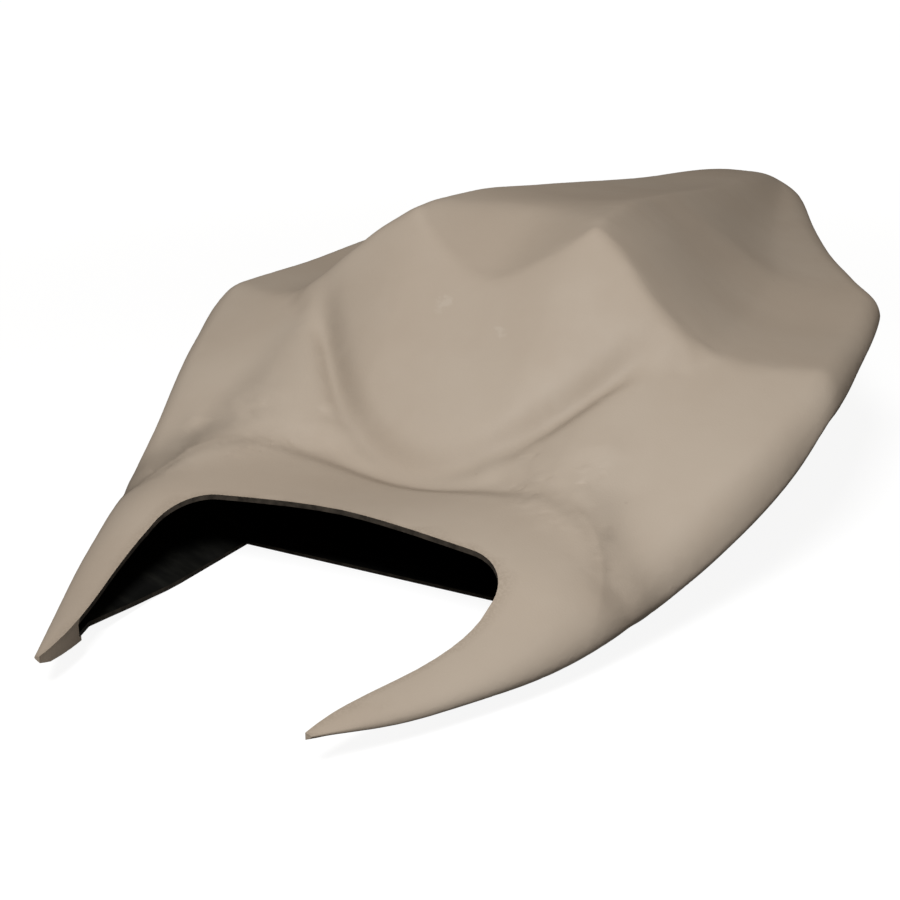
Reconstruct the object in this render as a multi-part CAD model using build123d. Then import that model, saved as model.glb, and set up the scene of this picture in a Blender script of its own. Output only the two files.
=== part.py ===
from build123d import *
from math import exp, hypot
import os

# Seat cowl: one moulded shell in mm, +Z up, +Y toward the tail, -Y toward the arms.
# Lengths run back from the arm tips, heights are above the tips.

# Lengths along the cowl
mouth_depth = 141.0       # arm tips to the lip edge
lip_length = 68.0         # lip edge to the foot of the hump
ramp_length = 101.0       # foot of the hump to its peaks
notch_length = 24.0       # front of the notch in the hump to the peaks
deck_length = 144.0       # peaks to the rear shoulder corners
tail_length = 262.0       # shoulder corners to the tail end

# Half widths
tip_half = 74.0           # arm tips
arm_half = 129.0          # arms, 100 mm back
brow_half = 165.0         # abreast of the brow
shoulder_half = 193.0     # widest place, abreast of the peaks
corner_half = 172.0       # rear shoulder corners
tail_half = 82.0          # tail, 108 mm ahead of its end
end_half = 9.0            # blunt tail end
mouth_half = 96.5         # mouth between the arms
pad_half = 108.0          # flat of the lip before it rounds down
ridge_half = 53.0         # between the peaks

# Heights
lip_height = 34.0         # lip edge
foot_height = 37.5        # foot of the hump
ridge_height = 152.0      # peaks
shoulder_height = 89.0    # flat shoulder deck
corner_height = 94.0      # deck edge at the shoulder corners
tail_height = 112.0       # top of the tail, 29 mm ahead of its end
end_height = 104.0        # top of the tail end
tray_drop = 17.0          # tray below the arm tips

# Slopes per mm, folds and creases
ramp_rise = 1.05          # hump front
ramp_twist = 0.2          # extra rise of the hump front, 75 mm out
shoulder_rise = 0.45      # outer shoulders
notch_rise = 0.42         # bed of the notch
notch_flank = 0.55        # sides of the notch
hollow = 3.5              # dip between the ridges
groove_depth = 4.5        # groove round the foot of the hump
groove_width = 7.5
brow_step = 3.0           # step from the lip up to the shoulders
brow_fold = 1.8
ridge_fold = 5.0          # rounding of the ridges

# Shell
wall = 2.5
tray_front = 187.0        # arm tips to the front edge of the tray
tray_half = 92.0          # half width of the tray
tip_solid = 34.0          # solid length of each arm tip
tip_width = 3.0           # blunt end of each arm tip
mouth_corner = 24.0       # back corners of the mouth

lip_y = mouth_depth
foot_y = lip_y + lip_length
peak_y = foot_y + ramp_length
notch_y = peak_y - notch_length
corner_y = peak_y + deck_length
end_y = corner_y + tail_length
notch_z = foot_height + ramp_rise * (notch_y - foot_y)


def through(*points):
    """Smooth line without overshoot through (position, value) points."""
    t = [p[0] for p in points]
    v = [p[1] for p in points]
    last = len(t) - 1
    h = [t[i + 1] - t[i] for i in range(last)]
    d = [(v[i + 1] - v[i]) / h[i] for i in range(last)]
    m = [d[0]]
    for i in range(1, last):
        a = 2 * h[i] + h[i - 1]
        b = h[i] + 2 * h[i - 1]
        m.append((a + b) / (a / d[i - 1] + b / d[i]) if d[i - 1] * d[i] > 0 else 0.0)
    m.append(d[-1])

    def value(x):
        if x <= t[0]:
            return v[0] + m[0] * (x - t[0])
        if x >= t[-1]:
            return v[-1] + m[-1] * (x - t[-1])
        i = max(k for k in range(last) if t[k] <= x)
        s = (x - t[i]) / h[i]
        return (v[i] * (1 + 2 * s) * (1 - s) ** 2 + h[i] * m[i] * s * (1 - s) ** 2
                + v[i + 1] * s * s * (3 - 2 * s) + h[i] * m[i + 1] * s * s * (s - 1))
    return value


def over(a, b, r):
    """Upper of two heights, with a fold of size r between them."""
    return max(a, b) + max(r - abs(a - b), 0.0) ** 3 / (6 * r * r)


def under(a, b, r):
    """Lower of two heights, with a rounded edge of size r between them."""
    return -over(-a, -b, r)


def fade(x):
    """Falls smoothly from 1 to 0 as x passes zero."""
    return 1 / (1 + exp(max(min(x, 40.0), -40.0)))


# Plan outline, the line round the rim and the reach of its roll
outline = through((0, tip_half), (45, 101), (100, arm_half), (foot_y - 9, brow_half),
                  (peak_y - 40, shoulder_half - 6), (peak_y - 3, shoulder_half),
                  (peak_y + 64, shoulder_half - 7), (corner_y - 16, corner_half + 4),
                  (corner_y, corner_half), (corner_y + 31, corner_half - 20),
                  (corner_y + 86, corner_half - 55), (end_y - 108, tail_half),
                  (end_y - 41, tail_half - 31), (end_y - 22, tail_half - 42),
                  (end_y - 10, end_half + 20), (end_y - 3, end_half + 8), (end_y, end_half))
rim = through((0, 1), (45, -3), (100, -1.5), (lip_y, 3.5), (foot_y - 9, 18.5), (foot_y + 16, 28.5),
              (peak_y - 40, 50.5), (peak_y - 5, shoulder_height - 19), (peak_y + 64, shoulder_height - 12),
              (corner_y, corner_height - 12), (end_y - 108, end_height - 12), (end_y, end_height - 7))
turn = through((0, 12), (45, 16), (100, 20), (lip_y, 20), (foot_y - 20, 16), (foot_y + 31, 14),
               (peak_y - 20, 15), (peak_y + 8, 14), (corner_y, 13), (end_y - 116, 14), (end_y, 9))
tray_edge = through((0, tip_half - 6), (46, 88), (104, tray_half + 1), (tray_front, tray_half),
                    (corner_y - 24, tray_half - 22), (end_y - 116, 36), (end_y, 4))
tray_z = through((0, -3), (46, -8), (tray_front - 60, -tray_drop), (tray_front, -tray_drop - 0.5),
                 (corner_y - 34, -tray_drop - 0.5), (corner_y, 3 - tray_drop), (end_y, end_height - 38))

# Lip and arms
lip_line = through((0, 4), (60, 10), (100, 19), (lip_y, lip_height), (foot_y - 19, lip_height + 9),
                   (foot_y + 51, lip_height + 18))
arm_crown = through((0, 8), (45, 17), (100, 19), (lip_y, 29))
arm_radius = through((0, 34), (71, 34), (100, 60), (lip_y, 400))

# Front of the shoulders and of the hump, outward from the middle
shoulder_line = through((0, shoulder_height), (68, shoulder_height + 1), (100, shoulder_height + 3),
                        (121, shoulder_height - 2), (135, shoulder_height - 5), (155, shoulder_height - 9),
                        (190, shoulder_height - 16))
ramp_fall = through((0, 0), (ridge_half - 13, 0.3), (ridge_half, 3.7), (ridge_half + 15, 12),
                    (ridge_half + 31, 24), (ridge_half + 51, 42), (ridge_half + 70, 71), (ridge_half + 97, 140))
crest_fold = through((0, 8), (ridge_half - 8, 8), (ridge_half + 9, 12), (100, 12), (130, 6), (150, 4),
                     (200, 4))

# Ridges, decks and the flanks between them
ridge_x = through((foot_y, ridge_half + 2), (peak_y, ridge_half), (corner_y - 22, ridge_half - 14),
                  (end_y - 150, ridge_half - 23), (end_y - 40, 18), (end_y, 12))
ridge_z = through((foot_y, ridge_height + 1), (peak_y, ridge_height), (peak_y + 56, ridge_height - 1.5),
                  (corner_y - 22, ridge_height - 9), (end_y - 150, tail_height + 13),
                  (end_y - 29, tail_height), (end_y, end_height))
hollow_line = through((foot_y, hollow), (corner_y, hollow), (end_y - 150, 0.7 * hollow), (end_y - 60, 0.2),
                      (end_y, 0))
deck_z = through((foot_y, shoulder_height - 1), (peak_y, shoulder_height), (peak_y + 64, shoulder_height),
                 (corner_y, corner_height), (end_y - 108, corner_height + 6), (end_y - 22, end_height),
                 (end_y, end_height - 2))
flank = through((0, 1), (0.165, 0.79), (0.30, 0.55), (0.42, 0.33), (0.557, 0.12), (0.70, 0.03), (1, 0),
                (1.4, 0))
scoop = through((foot_y, 1.2), (peak_y, 1.25), (corner_y - 34, 1.3), (corner_y + 66, 1.45), (end_y, 1))


def front_skin(x, y, ease):
    """Height of the lip, shoulders and hump front, with the folds eased for the inside."""
    dish = 3 * exp(-(x / 60) ** 2) - 0.30 * max(y - lip_y, 0.0) * exp(-(x / 58) ** 2)
    lip = lip_line(y) - x * x / 2000 + dish - max(x - pad_half, 0.0) ** 2 / 110
    if y < lip_y:
        off_crown = x - outline(y) + arm_crown(y)
        lip -= 4 * (1 - exp(-off_crown ** 2 / (8 * arm_radius(y)))) * min(y / 30, 1.0) * (1 - y / lip_y) ** 0.5
    rise = shoulder_rise + 0.30 / (1 + (x / 75) ** 4)
    climb = shoulder_line(x) + (y - peak_y + 30) * rise - lip - brow_step
    step = 1 - 0.9 * fade((pad_half + 16 - x) / 4 + max(y - lip_y - 30, 0.0) / 6)
    front = lip + over(climb, 0.0, 1.2) + brow_step * step * (1 - exp(-max(climb, 0.0) / (brow_fold * ease)))
    ramp = foot_height + (ramp_rise + ramp_twist * (x / 75) ** 2) * (y - foot_y) - ramp_fall(x)
    away = (y - foot_y - x * x / 136) / hypot(1, x / 68)
    groove = groove_depth * exp(-(away / (groove_width * ease)) ** 2) * fade((y - peak_y + 22) / 6)
    bed = notch_z + notch_rise * (y - notch_y) + notch_flank * (hypot(x, 20) - 20)
    return under(over(front, ramp, 6) - groove, bed, 2.5 * ease)


def skin(x, y, ease=1.0):
    """Height of the upper skin."""
    crown = ridge_x(y)
    top = ridge_z(y)
    share = (x - crown) / max(outline(max(y, peak_y - 3)) - crown, 2.0)
    middle = top - hollow_line(y) * (1 - (x / crown) ** 2)
    side = deck_z(y) + (top - deck_z(y)) * max(flank(min(share, 1.4)), 0.0) ** scoop(y)
    deck = under(middle, side, ridge_fold * ease)
    return under(front_skin(x, y, ease), deck, crest_fold(x) * ease)


def bezier(p, q, r, s, count):
    """Points of a cubic turn after its first point."""
    points = []
    for k in range(1, count + 1):
        t = k / count
        points.append(tuple((1 - t) ** 3 * p[i] + 3 * t * (1 - t) ** 2 * q[i] + 3 * t * t * (1 - t) * r[i]
                            + t ** 3 * s[i] for i in (0, 1)))
    return points


def section(y, inset, count):
    """Cross-section at y, the given thickness inside the outer skin, with count steps over each half."""
    ease = 1.8 if inset else 1.0
    side = hypot(1, outline(y + 0.5) - outline(y - 0.5))
    half = outline(y) - inset * side
    knee = outline(y) - min(turn(y) * side, 0.6 * outline(y))
    upper = []
    for k in range(count + 1):
        x = knee * k / count
        z = skin(x, y, ease)
        across = skin(x + 0.5, y, ease) - skin(abs(x - 0.5), y, ease)
        along = skin(x, y + 0.5, ease) - skin(x, y - 0.5, ease)
        upper.append((x, z - inset * min(hypot(across, along, 1), 2.0)))
    grade = (skin(knee, y) - skin(knee - 0.5, y)) / 0.5
    reach = 0.55 * (half - knee)
    edge = (half, rim(y))
    drop = 0.55 * max(upper[-1][1] + 0.5 * grade * (half - knee) - edge[1], 2.0)
    tray = (tray_edge(y) - inset / 2, tray_z(y) + inset)
    round_off = bezier(upper[-1], (knee + reach, upper[-1][1] + grade * reach), (half, edge[1] + drop), edge, 8)
    tuck = (half + 0.35 * (tray[0] - half), edge[1] + 0.35 * (tray[1] - edge[1]))
    hull = bezier(edge, (half, edge[1] - min(drop, 10)), tuck, tray, 6)
    right = upper + round_off + hull
    left = [(-x, z) for x, z in reversed(right[1:])]
    return [(x, y, z) for x, z in left + right]


def body(places, inset, count):
    """Closed body lofted through the sections at the given places."""
    wires = []
    for y in places:
        points = section(y, inset, count)
        steps = [k / (len(points) - 1) for k in range(len(points))]
        over_top = Edge.make_spline(points, parameters=steps)
        wires.append(Wire([over_top, Edge.make_line(points[-1], points[0])]))
    return Solid.make_loft(wires)


def spread(start, stop, count):
    """Evenly spread places, the last one left out."""
    return [start + (stop - start) * k / count for k in range(count)]


def stations(start, stop):
    """Section places, close together where the form turns quickly."""
    marks = [0, 8, 18, 30, 45, 62, 80, 100, 120, 132]
    marks += spread(lip_y, foot_y, 10) + spread(foot_y, peak_y, 14)
    marks += [peak_y + k for k in (0, 7, 14, 22, 31, 42, 56, 75, 98, 120)]
    marks += [corner_y + k for k in (-10, 2, 14, 28, 45, 68, 95)]
    marks += [end_y + k for k in (-140, -110, -82, -58, -38, -24, -14, -7, -3, 0)]
    return [start] + [m for m in marks if start + 2 < m < stop - 2] + [stop]


def upright(half_edges, low, high):
    """Upright cutter over half of a plan outline and its mirror image."""
    plan = make_face(half_edges + [e.mirror(Plane.YZ) for e in half_edges])
    return extrude(Pos(0, 0, low) * plan, high - low)


outer = body(stations(0, end_y), 0, 30)
inner = body(stations(tip_solid, end_y - 12), wall, 26)

# Mouth between the arms, open at the front
tip_inner = tip_half - tip_width
arm_edge = Spline((tip_inner, 0), (tip_inner + 3.6, 24), (mouth_half - 10.5, 60), (mouth_half, 104))
corner_start = (mouth_half, lip_y - mouth_corner - 1.5)
corner_stop = (mouth_half - mouth_corner, lip_y - 1.5)
mouth_edges = [Line((0, -9), (tip_inner, -9)), Line((tip_inner, -9), (tip_inner, 0)), arm_edge,
               Line((mouth_half, 104), corner_start), TangentArc(corner_start, corner_stop, tangent=(0, 1)),
               Line(corner_stop, (0, lip_y))]
mouth = upright(mouth_edges, 0, 120)
front_gap = upright(mouth_edges, -60, 1) & Pos(0, 0, -30) * Box(2 * arm_half, 80, 70)

# Tray cut back square between the arms
tray_line = Polyline((0, 36), (tray_half - 12, 36), (tray_half - 5, 52), (tray_half - 1, 104),
                     (tray_half - 1, tray_front), (0, tray_front))
tray_gap = upright(tray_line.edges(), -60, 1)

# Underside trimmed flat at the tray
below = Pos(0, end_y / 2, -2 * tray_drop) * Box(2 * shoulder_half, end_y, 2 * tray_drop)

cowl = outer - inner - mouth - front_gap - tray_gap - below
cowl = Pos(0, -end_y / 2, tray_drop) * cowl
cowl = cowl.solids()[0]
cowl.label = "seat_cowl"

os.makedirs("parts", exist_ok=True)
export_step(cowl, "parts/seat_cowl.step")
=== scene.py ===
from math import hypot, pi, radians

import bmesh
import bpy
from bpy.props import FloatProperty, FloatVectorProperty, PointerProperty
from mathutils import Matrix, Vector
from mathutils.kdtree import KDTree


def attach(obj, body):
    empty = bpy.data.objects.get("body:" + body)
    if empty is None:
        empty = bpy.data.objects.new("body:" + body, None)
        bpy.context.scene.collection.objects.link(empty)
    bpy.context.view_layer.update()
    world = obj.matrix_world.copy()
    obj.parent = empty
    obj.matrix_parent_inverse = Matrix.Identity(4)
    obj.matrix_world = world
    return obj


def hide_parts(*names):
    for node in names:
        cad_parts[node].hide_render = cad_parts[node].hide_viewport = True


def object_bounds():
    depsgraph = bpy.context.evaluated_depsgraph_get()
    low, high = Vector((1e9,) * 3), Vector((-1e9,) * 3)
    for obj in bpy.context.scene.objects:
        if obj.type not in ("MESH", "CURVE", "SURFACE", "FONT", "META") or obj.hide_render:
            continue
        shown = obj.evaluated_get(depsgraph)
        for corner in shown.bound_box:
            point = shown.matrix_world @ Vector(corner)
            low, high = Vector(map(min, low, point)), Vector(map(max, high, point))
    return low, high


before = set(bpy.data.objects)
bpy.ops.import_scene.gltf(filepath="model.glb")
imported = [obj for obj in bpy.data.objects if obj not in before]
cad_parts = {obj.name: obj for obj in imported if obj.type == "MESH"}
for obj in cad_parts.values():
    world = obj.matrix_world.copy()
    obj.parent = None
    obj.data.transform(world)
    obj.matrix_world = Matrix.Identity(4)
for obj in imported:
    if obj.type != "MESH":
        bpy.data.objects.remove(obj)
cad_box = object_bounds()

bl_info = {
    "name": "Seat cowl",
    "version": (1, 0, 0),
    "blender": (4, 5, 0),
    "location": "3D View > Sidebar > Seat cowl",
    "description": "Finishes the moulded seat cowl and sets it in a pale studio",
    "category": "Object",
}

# Lengths are in metres: X across, Y along the cowl toward the tail, Z up.
# A pair of places or heights is where a fade starts and stops.
SHELL_NODE = "seat_cowl"
PRIMER, RESIN, LAMINATE = range(3)    # order of the shell's materials
WELD = 0.000002                       # triangle corners closer than this are one point
TRIM_AREA = 0.004                     # a smaller group of faces is a trimmed edge
TIP_REACH = 0.036                     # trimmed edges this close to the arm tips are painted
ROOF_TILT = -0.5                      # the roof of the inside faces down more than this

# Groove round the foot of the hump, bowed back towards both sides
GROOVE_MIDDLE = -0.1475               # place on the middle line
GROOVE_BOW = 0.136                    # distance across, squared, over this is how far back it lies
GROOVE_WIDTH = 0.006
GROOVE_END = (-0.100, -0.068)
GROOVE_LEVEL = (0.038, 0.045)

# Brow between the lip and the shoulders: half an oval, open to the front
BROW_MIDDLE = -0.258
BROW_HALF = 0.142                     # half width
BROW_REACH = 0.101                    # length behind the middle
BROW_SQUARE = 4.0                     # power of the oval across
BROW_ROUND = 2.5                      # power of the oval along
BROW_WIDTH = 0.006                    # width of the crease
BROW_START = (-0.223, -0.193)
BROW_SIDE = (0.095, 0.125)
BROW_SIDE_SHARE = 0.6                 # what is left of the crease at the sides
BROW_LEVEL = (0.026, 0.032)

# Trough outside the ends of the brow
TROUGH_WIDTH = 0.031
TROUGH_GAIN = 75.0                    # makes the deepest place about 1
TROUGH_ROUND = 0.0000025              # rounds the start of the fall
TROUGH_SIDE = (0.080, 0.130)
TROUGH_START = (-0.240, -0.180)
TROUGH_LEVEL = (0.006, 0.018)

# Evened skin at the ends of the brow
EVEN_ALONG = (-0.203, -0.100)         # between these places
EVEN_ACROSS = (0.060, 0.132)          # between these distances from the middle
EVEN_LEVEL = 0.024                    # above this height
EVEN_BAND = 0.024                     # this close to the brow
EVEN_TILT = 0.6                       # only where the skin is nearly level
EVEN_ROUNDS = ((0.060, 30), (0.068, 40), (0.076, 100))    # from this far across, so many times
EVEN_FACTOR = 0.5
INSIDE_CLEAR = 0.0012                 # room kept under the evened skin

# Sprayed coat
NOISE_SPAN = (0.3, 0.7)               # nearly all of a noise lies in this span
NIB_SCALE = 55.0                      # cells per metre that may hold a dust nib
NIB_EDGE = (0.02, 0.07)
NIB_CHANCE = 0.8                      # only cells above this hold one
NIB_SHARE = 0.25
NIB_HEIGHT = 0.8                      # against the sprayed texture
CLOUD_ROUGHNESS = (0.06, -0.04)       # added to the roughness between the clouds and on them
CREASE_SHADE_SHARE = 0.3                     # painted shade in the groove and the brow's crease
RUB_SHARE = 0.7
RUB_SPAN = (0.35, 0.6, 0.2, 1.0)      # the coat's texture breaks up the rubbed band
RUB_POLISH = 0.12                     # rubbed skin is smoother by this
# two small spots on the hump, paler than the primer round them
PALE_SPOTS = (((-0.0167, -0.0832, 0.1241), 0.006), ((0.0211, -0.0912, 0.1160), 0.0045))
PALE_SPOT_SHARE = 0.24
RAGGED_SCALE = 220.0                  # uneven edge of the pale spots
RAGGED_DEPTH = 0.45
SPOT_EDGE = (0.2, 1.0)
SKIN_SHINE = 0.3

# Inside and trimmed edges
STRAND_TURNS = (0.3, 1.4, 2.5)
STRAND_LEAN = (0.2, 0.1)
STRAND_STRETCH = (0.12, 1.0, 1.0)
STRAND_SPAN = (0.5, 0.75)
RESIN_CLOUD = 30.0
RESIN_ROUGHNESS = (0.55, 0.75)
RESIN_SHINE = 0.15
LAMINATE_CLOUD = 160.0
LAMINATE_ROUGHNESS = (0.65, 0.85)
LAMINATE_SHINE = 0.2
DUST_SHARE = 0.12

# Studio
GLOW_REACH = (0.4, 1.4)               # distance from the cowl over which the floor turns white
PICTURE_WIDTH = 36.0                  # millimetres
NEAREST = 0.01
WHITE = (1.0, 1.0, 1.0)


class CowlFinish(bpy.types.PropertyGroup):
    """Colours and surface of the moulded shell."""
    skin_colour: FloatVectorProperty(
        name="Skin", description="Primer on the outside of the moulding",
        subtype="COLOR", size=3, min=0.0, max=1.0, default=(0.480, 0.407, 0.330))
    tired_colour: FloatVectorProperty(
        name="Tired skin", description="Primer where the coat is thin and browner",
        subtype="COLOR", size=3, min=0.0, max=1.0, default=(0.448, 0.372, 0.296))
    # this colour is also the painted shade in the groove and the brow's crease
    rubbed_and_shade_colour: FloatVectorProperty(
        name="Rubbed skin", description="Primer sanded through on the edges",
        subtype="COLOR", size=3, min=0.0, max=1.0, default=(0.36, 0.295, 0.23))
    # colour of two small spots on the hump, paler than the primer round them
    pale_spot_colour: FloatVectorProperty(
        name="Filler", description="Pale filler in two small blemishes on the hump",
        subtype="COLOR", size=3, min=0.0, max=1.0, default=(0.60, 0.54, 0.46))
    skin_roughness: FloatProperty(
        name="Skin roughness", description="Roughness of the primer",
        subtype="FACTOR", min=0.0, max=1.0, default=0.62)
    peel_depth: FloatProperty(
        name="Peel depth", description="Height of the sprayed texture",
        subtype="DISTANCE", unit="LENGTH", min=0.0, max=0.001, default=0.00006)
    rub_reach: FloatProperty(
        name="Rub reach", description="Width of the rubbed band along the trimmed edges",
        subtype="DISTANCE", unit="LENGTH", min=0.0005, max=0.02, default=0.003)
    groove_depth: FloatProperty(
        name="Groove depth", description="Extra depth of the groove round the foot of the hump",
        subtype="DISTANCE", unit="LENGTH", min=0.0, max=0.01, default=0.0022)
    brow_depth: FloatProperty(
        name="Brow depth", description="Depth of the crease between the lip and the shoulders",
        subtype="DISTANCE", unit="LENGTH", min=0.0, max=0.01, default=0.0016)
    trough_depth: FloatProperty(
        name="Trough depth", description="Fall of the skin beside the ends of the brow",
        subtype="DISTANCE", unit="LENGTH", min=0.0, max=0.02, default=0.0095)
    inside_colour: FloatVectorProperty(
        name="Inside", description="Black resin on the inside of the moulding",
        subtype="COLOR", size=3, min=0.0, max=1.0, default=(0.004, 0.004, 0.0036))
    strand_colour: FloatVectorProperty(
        name="Strands", description="Glass strands that show through the resin",
        subtype="COLOR", size=3, min=0.0, max=1.0, default=(0.012, 0.012, 0.010))
    strand_depth: FloatProperty(
        name="Strand depth", description="Height of the glass strands under the resin",
        subtype="DISTANCE", unit="LENGTH", min=0.0, max=0.002, default=0.0003)
    trim_colour: FloatVectorProperty(
        name="Trimmed edge", description="Dark laminate where the moulding was cut to size",
        subtype="COLOR", size=3, min=0.0, max=1.0, default=(0.022, 0.018, 0.014))
    fold_angle: FloatProperty(
        name="Fold angle", description="Edges sharper than this stay sharp",
        subtype="ANGLE", unit="ROTATION", min=0.0, max=pi, default=radians(38))


class CowlStudio(bpy.types.PropertyGroup):
    """Camera, lamp, sky and floor."""
    camera_place: FloatVectorProperty(
        name="Camera", description="Place of the camera",
        subtype="TRANSLATION", unit="LENGTH", size=3, default=(0.4308, -0.8834, 0.3723))
    camera_aim: FloatVectorProperty(
        name="Camera aim", description="Point in the middle of the picture",
        subtype="TRANSLATION", unit="LENGTH", size=3, default=(-0.0601, 0.0, 0.0056))
    camera_lens: FloatProperty(
        name="Lens", description="Focal length on a 36 mm wide picture",
        subtype="DISTANCE_CAMERA", unit="CAMERA", min=10.0, max=300.0, default=70.0)
    key_place: FloatVectorProperty(
        name="Key lamp", description="Place of the main lamp",
        subtype="TRANSLATION", unit="LENGTH", size=3, default=(0.32, -1.24, 1.31))
    key_power: FloatProperty(
        name="Key power", description="Power of the main lamp",
        subtype="POWER", unit="POWER", min=0.0, max=500.0, default=24.7)
    key_size: FloatProperty(
        name="Key size", description="Side of the main lamp",
        subtype="DISTANCE", unit="LENGTH", min=0.05, max=4.0, default=0.45)
    sky_strength: FloatProperty(
        name="Sky", description="Strength of the even light from all round",
        min=0.0, max=2.0, default=0.12)
    sky_colour: FloatVectorProperty(
        name="Sky colour", description="Colour of the even light from all round",
        subtype="COLOR", size=3, min=0.0, max=1.0, default=(1.0, 0.88, 0.74))
    floor_side: FloatProperty(
        name="Floor", description="Side of the floor",
        subtype="DISTANCE", unit="LENGTH", min=1.0, max=80.0, default=40.0)
    floor_colour: FloatVectorProperty(
        name="Floor colour", description="Colour of the floor under the lamp",
        subtype="COLOR", size=3, min=0.0, max=1.0, default=(0.18, 0.18, 0.18))
    floor_glow: FloatProperty(
        name="Floor glow", description="Light that only the camera sees on the floor by the cowl",
        min=0.0, max=1.0, default=0.91)


class Nodes:
    """Short way to add and link the nodes of one tree."""

    def __init__(self, tree):
        self.tree = tree
        tree.nodes.clear()

    def put(self, socket, value):
        """Links an output to the socket, or sets the socket's value."""
        if isinstance(value, bpy.types.NodeSocket):
            self.tree.links.new(value, socket)
        else:
            socket.default_value = value

    def add(self, kind, **values):
        """Adds a node; names are settings of the node or its enabled sockets."""
        node = self.tree.nodes.new(kind)
        for name, value in values.items():
            if hasattr(node, name):
                setattr(node, name, value)
            else:
                named = (s for s in node.inputs if s.enabled and s.name.replace(" ", "_") == name)
                self.put(next(named), value)
        return node

    def group(self, name, **values):
        """Outputs of a new node that holds a shader group."""
        return self.add("ShaderNodeGroup", node_tree=bpy.data.node_groups[name], **values).outputs

    def place(self):
        """Place on the object."""
        return self.add("ShaderNodeTexCoord").outputs["Object"]

    def math(self, operation, first, second=0.0):
        """Result of one operation on two values, or on the first alone."""
        node = self.add("ShaderNodeMath", operation=operation)
        self.put(node.inputs[0], first)
        self.put(node.inputs[1], second)
        return node.outputs["Value"]

    def times(self, first, *others):
        """Product of values."""
        for other in others:
            first = self.math("MULTIPLY", first, other)
        return first

    def ridge(self, away, width):
        """Bell shape across a line, from 1 on it to nearly 0 at two widths away."""
        share = self.math("DIVIDE", away, width)
        return self.math("EXPONENT", self.times(share, share, -1.0))

    def between(self, value, low, high, start=0.0, stop=1.0):
        """Value moved from low..high to start..stop, eased at both ends and kept there."""
        node = self.add("ShaderNodeMapRange", interpolation_type="SMOOTHSTEP", Value=value,
                        From_Min=low, From_Max=high, To_Min=start, To_Max=stop)
        return node.outputs["Result"]

    def mix(self, factor, first, second):
        """Colour between two colours."""
        node = self.add("ShaderNodeMix", data_type="RGBA", Factor=factor, A=first, B=second)
        return next(s for s in node.outputs if s.enabled)

    def surface(self, colour, rough, bump, shine):
        """Adds the shader of the shell's material and its output."""
        shader = self.add("ShaderNodeBsdfPrincipled", Base_Color=colour, Roughness=rough,
                          Normal=bump.outputs["Normal"], Specular_IOR_Level=shine)
        self.add("ShaderNodeOutputMaterial", Surface=shader.outputs["BSDF"])


def solid(colour):
    """Colour that nothing shows through."""
    return (*colour, 1.0)


def new_group(name, inputs, outputs):
    """Nodes, inputs and results of a new shader group; inputs are (name, type, default)."""
    group = bpy.data.node_groups.new(name, "ShaderNodeTree")
    for label, kind, default in inputs:
        group.interface.new_socket(label, in_out="INPUT", socket_type=kind).default_value = default
    for label in outputs:
        group.interface.new_socket(label, in_out="OUTPUT", socket_type="NodeSocketFloat")
    nodes = Nodes(group)
    return nodes, nodes.add("NodeGroupInput").outputs, nodes.add("NodeGroupOutput").inputs


def mottle_group():
    """Cloudy differences of a sprayed coat, dust nibs in it and its fine texture."""
    nodes, given, result = new_group(
        "Mottle", (("Cloud", "NodeSocketFloat", 9.0), ("Grain", "NodeSocketFloat", 900.0)),
        ("Clouds", "Nibs", "Texture"))
    place = nodes.place()
    clouds = nodes.add("ShaderNodeTexNoise", Vector=place, Scale=given["Cloud"], Detail=4.0, Roughness=0.6)
    grain = nodes.add("ShaderNodeTexNoise", Vector=place, Scale=given["Grain"], Detail=2.0, Roughness=0.5)
    cells = nodes.add("ShaderNodeTexVoronoi", Vector=place, Scale=NIB_SCALE, Randomness=1.0)
    chance = nodes.add("ShaderNodeTexWhiteNoise", Vector=cells.outputs["Position"])
    dots = nodes.between(cells.outputs["Distance"], *NIB_EDGE, 1.0, 0.0)
    few = nodes.math("GREATER_THAN", chance.outputs["Value"], NIB_CHANCE)
    nodes.put(result["Clouds"], nodes.between(clouds.outputs["Fac"], *NOISE_SPAN))
    nodes.put(result["Nibs"], nodes.times(dots, few))
    nodes.put(result["Texture"], grain.outputs["Fac"])


def spot_group():
    """Soft, uneven round spot at a place."""
    nodes, given, result = new_group(
        "Spot", (("Place", "NodeSocketVector", (0.0, 0.0, 0.0)), ("Radius", "NodeSocketFloat", 0.01)),
        ("Mask",))
    place = nodes.place()
    away = nodes.add("ShaderNodeVectorMath", operation="DISTANCE")
    nodes.put(away.inputs[0], place)
    nodes.put(away.inputs[1], given["Place"])
    ragged = nodes.add("ShaderNodeTexNoise", Vector=place, Scale=RAGGED_SCALE, Detail=3.0)
    share = nodes.math("DIVIDE", away.outputs["Value"], given["Radius"])
    edge = nodes.between(ragged.outputs["Fac"], *NOISE_SPAN, -RAGGED_DEPTH, RAGGED_DEPTH)
    uneven = nodes.math("ADD", share, edge)
    nodes.put(result["Mask"], nodes.between(uneven, *SPOT_EDGE, 1.0, 0.0))


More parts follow.
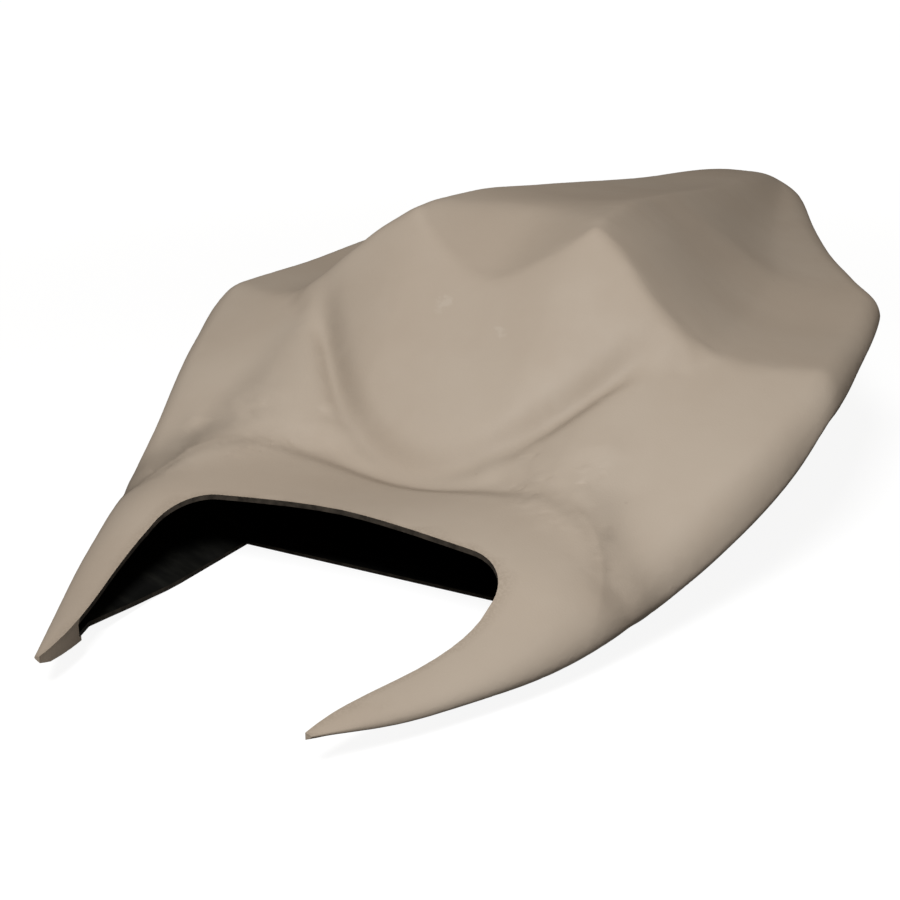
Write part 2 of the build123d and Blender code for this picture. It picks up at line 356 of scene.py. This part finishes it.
def crease_group():
    """Groove round the foot of the hump, crease along the brow and trough outside the
    ends of the brow, on the upper side only."""
    nodes, _, result = new_group("Creases", (), ("Groove", "Brow", "Trough"))
    axes = nodes.add("ShaderNodeSeparateXYZ", Vector=nodes.place()).outputs
    across = nodes.math("ABSOLUTE", axes["X"])
    along, height = axes["Y"], axes["Z"]

    bow = nodes.math("DIVIDE", nodes.math("POWER", across, 2.0), GROOVE_BOW)
    past = nodes.math("SUBTRACT", nodes.math("SUBTRACT", along, GROOVE_MIDDLE), bow)
    slant = nodes.math("POWER", nodes.math("DIVIDE", across, GROOVE_BOW / 2), 2.0)
    away = nodes.math("DIVIDE", past, nodes.math("SQRT", nodes.math("ADD", slant, 1.0)))
    nodes.put(result["Groove"], nodes.times(
        nodes.ridge(away, GROOVE_WIDTH), nodes.between(along, *GROOVE_END, 1.0, 0.0),
        nodes.between(height, *GROOVE_LEVEL)))

    wide = nodes.math("DIVIDE", across, BROW_HALF)
    long = nodes.math("DIVIDE", nodes.math("SUBTRACT", along, BROW_MIDDLE), BROW_REACH)
    long = nodes.math("MAXIMUM", long, 0.0)
    oval = nodes.math("ADD", nodes.math("POWER", wide, BROW_SQUARE), nodes.math("POWER", long, BROW_ROUND))
    steep_x = nodes.times(nodes.math("POWER", wide, BROW_SQUARE - 1.0), BROW_SQUARE / BROW_HALF)
    steep_y = nodes.times(nodes.math("POWER", long, BROW_ROUND - 1.0), BROW_ROUND / BROW_REACH)
    squares = nodes.math("ADD", nodes.math("POWER", steep_x, 2.0), nodes.math("POWER", steep_y, 2.0))
    steep = nodes.math("MAXIMUM", nodes.math("SQRT", squares), 1.0)
    away = nodes.math("DIVIDE", nodes.math("SUBTRACT", oval, 1.0), steep)
    nodes.put(result["Brow"], nodes.times(
        nodes.ridge(away, BROW_WIDTH), nodes.between(along, *BROW_START),
        nodes.between(across, *BROW_SIDE, 1.0, BROW_SIDE_SHARE), nodes.between(height, *BROW_LEVEL)))

    root = nodes.math("SQRT", nodes.math("ADD", nodes.times(away, away), TROUGH_ROUND))
    beyond = nodes.times(nodes.math("ADD", away, root), 0.5)
    nodes.put(result["Trough"], nodes.times(
        nodes.ridge(beyond, TROUGH_WIDTH), nodes.times(beyond, TROUGH_GAIN),
        nodes.between(across, *TROUGH_SIDE), nodes.between(along, *TROUGH_START),
        nodes.between(height, *TROUGH_LEVEL)))


def strand_group():
    """Chopped glass strands lying in three directions."""
    nodes, given, result = new_group("Strands", (("Scale", "NodeSocketFloat", 60.0),), ("Height",))
    place = nodes.place()
    height = None
    for turn in STRAND_TURNS:
        laid = nodes.add("ShaderNodeMapping", Vector=place, Rotation=(*STRAND_LEAN, turn),
                         Scale=STRAND_STRETCH)
        strand = nodes.add("ShaderNodeTexNoise", Vector=laid.outputs["Vector"], Scale=given["Scale"],
                           Detail=3.0)
        lines = nodes.between(strand.outputs["Fac"], *STRAND_SPAN)
        height = lines if height is None else nodes.math("MAXIMUM", height, lines)
    nodes.put(result["Height"], height)


def new_material(name):
    """Empty material with its node tree."""
    material = bpy.data.materials.new(name)
    material.use_nodes = True
    return material, Nodes(material.node_tree)


def skin_material(finish):
    """Matte sprayed primer: cloudy, with nibs, two small pale spots, rubbed edges, and creases darkened by
    painted shade.
    """
    material, nodes = new_material("cowl_primer")
    rubbed = solid(finish.rubbed_and_shade_colour)
    coat = nodes.group("Mottle")
    colour = nodes.mix(coat["Clouds"], solid(finish.tired_colour), solid(finish.skin_colour))
    # two small spots on the hump made paler than the primer round them
    for place, radius in PALE_SPOTS:
        spot = nodes.group("Spot", Place=place, Radius=radius)
        colour = nodes.mix(nodes.times(spot["Mask"], PALE_SPOT_SHARE), colour, solid(finish.pale_spot_colour))
    rub = nodes.add("ShaderNodeAttribute", attribute_name="rub").outputs["Fac"]
    broken = nodes.times(rub, nodes.between(coat["Texture"], *RUB_SPAN))
    colour = nodes.mix(nodes.times(broken, RUB_SHARE), colour, rubbed)
    colour = nodes.mix(nodes.times(coat["Nibs"], NIB_SHARE), colour, rubbed)
    lines = nodes.group("Creases")
    # painted shade: the groove and the brow's crease are darkened toward the rubbed colour
    crease_shade = nodes.times(nodes.math("MAXIMUM", lines["Groove"], lines["Brow"]), CREASE_SHADE_SHARE)
    colour = nodes.mix(crease_shade, colour, rubbed)

    depth = nodes.math("ADD", nodes.times(lines["Groove"], -finish.groove_depth),
                       nodes.times(lines["Brow"], -finish.brow_depth))
    depth = nodes.math("ADD", depth, nodes.times(lines["Trough"], -finish.trough_depth))
    creased = nodes.add("ShaderNodeBump", Height=depth, Distance=1.0)
    height = nodes.math("ADD", coat["Texture"], nodes.times(coat["Nibs"], NIB_HEIGHT))
    bump = nodes.add("ShaderNodeBump", Height=height, Distance=finish.peel_depth,
                     Normal=creased.outputs["Normal"])
    cloudy = nodes.between(coat["Clouds"], 0.0, 1.0, *CLOUD_ROUGHNESS)
    rough = nodes.math("SUBTRACT", nodes.math("ADD", cloudy, finish.skin_roughness),
                       nodes.times(broken, RUB_POLISH))
    nodes.surface(colour, rough, bump, SKIN_SHINE)
    return material


def inside_material(finish):
    """Black resin over glass strands."""
    material, nodes = new_material("cowl_inside")
    strands = nodes.group("Strands")["Height"]
    coat = nodes.group("Mottle", Cloud=RESIN_CLOUD)
    colour = nodes.mix(strands, solid(finish.inside_colour), solid(finish.strand_colour))
    bump = nodes.add("ShaderNodeBump", Height=strands, Distance=finish.strand_depth)
    rough = nodes.between(coat["Clouds"], 0.0, 1.0, *RESIN_ROUGHNESS)
    nodes.surface(colour, rough, bump, RESIN_SHINE)
    return material


def trim_material(finish):
    """Dark cut laminate at the trimmed edges, with dust in its grain."""
    material, nodes = new_material("cowl_trimmed_edge")
    coat = nodes.group("Mottle", Cloud=LAMINATE_CLOUD)
    dust = nodes.times(coat["Clouds"], DUST_SHARE)
    colour = nodes.mix(dust, solid(finish.trim_colour), solid(finish.rubbed_and_shade_colour))
    bump = nodes.add("ShaderNodeBump", Height=coat["Texture"], Distance=finish.peel_depth)
    rough = nodes.between(coat["Clouds"], 0.0, 1.0, *LAMINATE_ROUGHNESS)
    nodes.surface(colour, rough, bump, LAMINATE_SHINE)
    return material


def face_groups(bm):
    """Groups of faces that meet in smooth edges."""
    left = set(bm.faces)
    groups = []
    for seed in bm.faces:
        if seed not in left:
            continue
        left.remove(seed)
        group = [seed]
        for face in group:
            for edge in face.edges:
                if edge.smooth:
                    for other in edge.link_faces:
                        if other in left:
                            left.remove(other)
                            group.append(other)
        groups.append(group)
    return groups


def past_brow(place):
    """Distance behind the brow, or beyond it to the side; below 0 on the lip."""
    wide = abs(place.x) / BROW_HALF
    long = max((place.y - BROW_MIDDLE) / BROW_REACH, 0.0)
    steep = hypot(BROW_SQUARE * wide ** (BROW_SQUARE - 1.0) / BROW_HALF,
                  BROW_ROUND * long ** (BROW_ROUND - 1.0) / BROW_REACH)
    return (wide ** BROW_SQUARE + long ** BROW_ROUND - 1.0) / max(steep, 1.0)


def smooth_brow(bm):
    """Evens out both skins round the ends of the brow, more towards the ends."""
    near = [v for v in bm.verts
            if EVEN_ALONG[0] < v.co.y < EVEN_ALONG[1] and EVEN_ACROSS[0] < abs(v.co.x) < EVEN_ACROSS[1]
            and v.co.z > EVEN_LEVEL and abs(past_brow(v.co)) < EVEN_BAND
            and all(e.smooth for e in v.link_edges)]
    outer = [v for v in near if v.normal.z > EVEN_TILT and v.link_faces[0].material_index == PRIMER]
    inner = [v for v in near if v.normal.z < -EVEN_TILT and v.link_faces[0].material_index == RESIN]
    bmesh.ops.translate(bm, verts=inner, vec=(0.0, 0.0, -INSIDE_CLEAR))
    for start, times in EVEN_ROUNDS:
        ends = [v for v in outer + inner if abs(v.co.x) > start]
        for _ in range(times):
            bmesh.ops.smooth_vert(bm, verts=ends, factor=EVEN_FACTOR, use_axis_z=True)


def mark_rub(bm, reach):
    """Fades a value from 1 at the sharp edges to 0 at the given distance."""
    sharp = [v for v in bm.verts if not all(e.smooth for e in v.link_edges)]
    tree = KDTree(len(sharp))
    for index, vert in enumerate(sharp):
        tree.insert(vert.co, index)
    tree.balance()
    layer = bm.verts.layers.float.new("rub")
    for vert in bm.verts:
        vert[layer] = max(0.0, 1.0 - tree.find(vert.co)[2] / reach)


class COWL_OT_shell(bpy.types.Operator):
    """Finish the moulded shell: joined skin, black inside, trimmed edges"""
    bl_idname = "cowl.shell"
    bl_label = "Shell"
    bl_options = {"REGISTER", "UNDO"}

    def execute(self, context):
        finish = context.scene.cowl_finish
        bm = bmesh.new()
        bm.from_mesh(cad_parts[SHELL_NODE].data)
        bmesh.ops.remove_doubles(bm, verts=bm.verts, dist=WELD)
        for edge in bm.edges:
            edge.smooth = len(edge.link_faces) == 2 and edge.calc_face_angle() < finish.fold_angle
        facing_down = (f for f in bm.faces if f.normal.z < ROOF_TILT)
        roof = max(facing_down, key=lambda f: f.calc_center_median().z)
        painted_to = cad_box[0][1] + TIP_REACH
        for group in face_groups(bm):
            area = sum(face.calc_area() for face in group)
            kind = RESIN if roof in group else LAMINATE if area < TRIM_AREA else PRIMER
            for face in group:
                at_tip = face.calc_center_median().y < painted_to
                face.material_index = PRIMER if at_tip and kind == LAMINATE else kind
                face.smooth = True
        smooth_brow(bm)
        mark_rub(bm, finish.rub_reach)
        mesh = bpy.data.meshes.new("moulded_shell")
        bm.to_mesh(mesh)
        bm.free()
        for make in (mottle_group, spot_group, crease_group, strand_group):
            make()
        for make in (skin_material, inside_material, trim_material):
            mesh.materials.append(make(finish))
        shell = bpy.data.objects.new("moulded_shell", mesh)
        context.scene.collection.objects.link(shell)
        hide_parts(SHELL_NODE)
        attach(shell, "root")
        return {"FINISHED"}


def aimed(obj, place, aim):
    """Puts a lamp or camera at a place, looking at a point."""
    obj.location = place
    obj.rotation_euler = (Vector(aim) - Vector(place)).to_track_quat("-Z", "Y").to_euler()
    bpy.context.scene.collection.objects.link(obj)


def floor_material(studio):
    """Pale floor that keeps the shadow and looks white to the camera."""
    material, nodes = new_material("studio_floor")
    matte = nodes.add("ShaderNodeBsdfDiffuse", Color=solid(studio.floor_colour))
    away = nodes.add("ShaderNodeVectorMath", operation="LENGTH")
    nodes.put(away.inputs[0], nodes.place())
    glow = nodes.between(away.outputs["Value"], *GLOW_REACH, studio.floor_glow, 1.0)
    seen = nodes.add("ShaderNodeLightPath").outputs["Is Camera Ray"]
    light = nodes.add("ShaderNodeEmission", Strength=nodes.times(seen, glow))
    both = nodes.add("ShaderNodeAddShader")
    nodes.put(both.inputs[0], matte.outputs["BSDF"])
    nodes.put(both.inputs[1], light.outputs["Emission"])
    nodes.add("ShaderNodeOutputMaterial", Surface=both.outputs["Shader"])
    return material


class COWL_OT_studio(bpy.types.Operator):
    """Set the pale floor, the lamp, the sky and the camera"""
    bl_idname = "cowl.studio"
    bl_label = "Studio"
    bl_options = {"REGISTER", "UNDO"}

    def execute(self, context):
        scene = context.scene
        studio = scene.cowl_studio
        scene.view_settings.view_transform = "Standard"

        bm = bmesh.new()
        bmesh.ops.create_grid(bm, x_segments=1, y_segments=1, size=studio.floor_side / 2)
        bmesh.ops.translate(bm, verts=bm.verts, vec=(0.0, 0.0, cad_box[0][2]))
        mesh = bpy.data.meshes.new("studio_floor")
        bm.to_mesh(mesh)
        bm.free()
        mesh.materials.append(floor_material(studio))
        floor = bpy.data.objects.new("studio_floor", mesh)
        scene.collection.objects.link(floor)

        centre = (Vector(cad_box[0]) + Vector(cad_box[1])) / 2
        lamp = bpy.data.lights.new("key_lamp", "AREA")
        lamp.energy = studio.key_power
        lamp.size = studio.key_size
        aimed(bpy.data.objects.new("key_lamp", lamp), studio.key_place, centre)

        world = bpy.data.worlds.new("studio_sky")
        world.use_nodes = True
        nodes = Nodes(world.node_tree)
        seen = nodes.add("ShaderNodeLightPath").outputs["Is Camera Ray"]
        strength = nodes.between(seen, 0.0, 1.0, studio.sky_strength, 1.0)
        tint = nodes.mix(seen, solid(studio.sky_colour), solid(WHITE))
        sky = nodes.add("ShaderNodeBackground", Strength=strength, Color=tint)
        nodes.add("ShaderNodeOutputWorld", Surface=sky.outputs["Background"])
        scene.world = world

        camera = bpy.data.cameras.new("camera")
        camera.lens = studio.camera_lens
        camera.sensor_width = PICTURE_WIDTH
        camera.clip_start = NEAREST
        view = bpy.data.objects.new("camera", camera)
        aimed(view, studio.camera_place, studio.camera_aim)
        scene.camera = view
        return {"FINISHED"}


class COWL_PT_sidebar(bpy.types.Panel):
    """Sizes, colours and steps of the seat cowl"""
    bl_label = "Seat cowl"
    bl_space_type = "VIEW_3D"
    bl_region_type = "UI"
    bl_category = "Seat cowl"

    def draw(self, context):
        scene = context.scene
        for step, values in (("cowl.shell", scene.cowl_finish), ("cowl.studio", scene.cowl_studio)):
            box = self.layout.box()
            box.operator(step)
            for name in values.bl_rna.properties.keys():
                if name not in {"rna_type", "name"}:
                    box.prop(values, name)


CLASSES = (CowlFinish, CowlStudio, COWL_OT_shell, COWL_OT_studio, COWL_PT_sidebar)


def register():
    for item in CLASSES:
        bpy.utils.register_class(item)
    bpy.types.Scene.cowl_finish = PointerProperty(type=CowlFinish)
    bpy.types.Scene.cowl_studio = PointerProperty(type=CowlStudio)


def unregister():
    del bpy.types.Scene.cowl_studio
    del bpy.types.Scene.cowl_finish
    for item in reversed(CLASSES):
        bpy.utils.unregister_class(item)


def main():
    register()
    bpy.ops.cowl.shell()
    bpy.ops.cowl.studio()


if __name__ == "__main__":
    main()
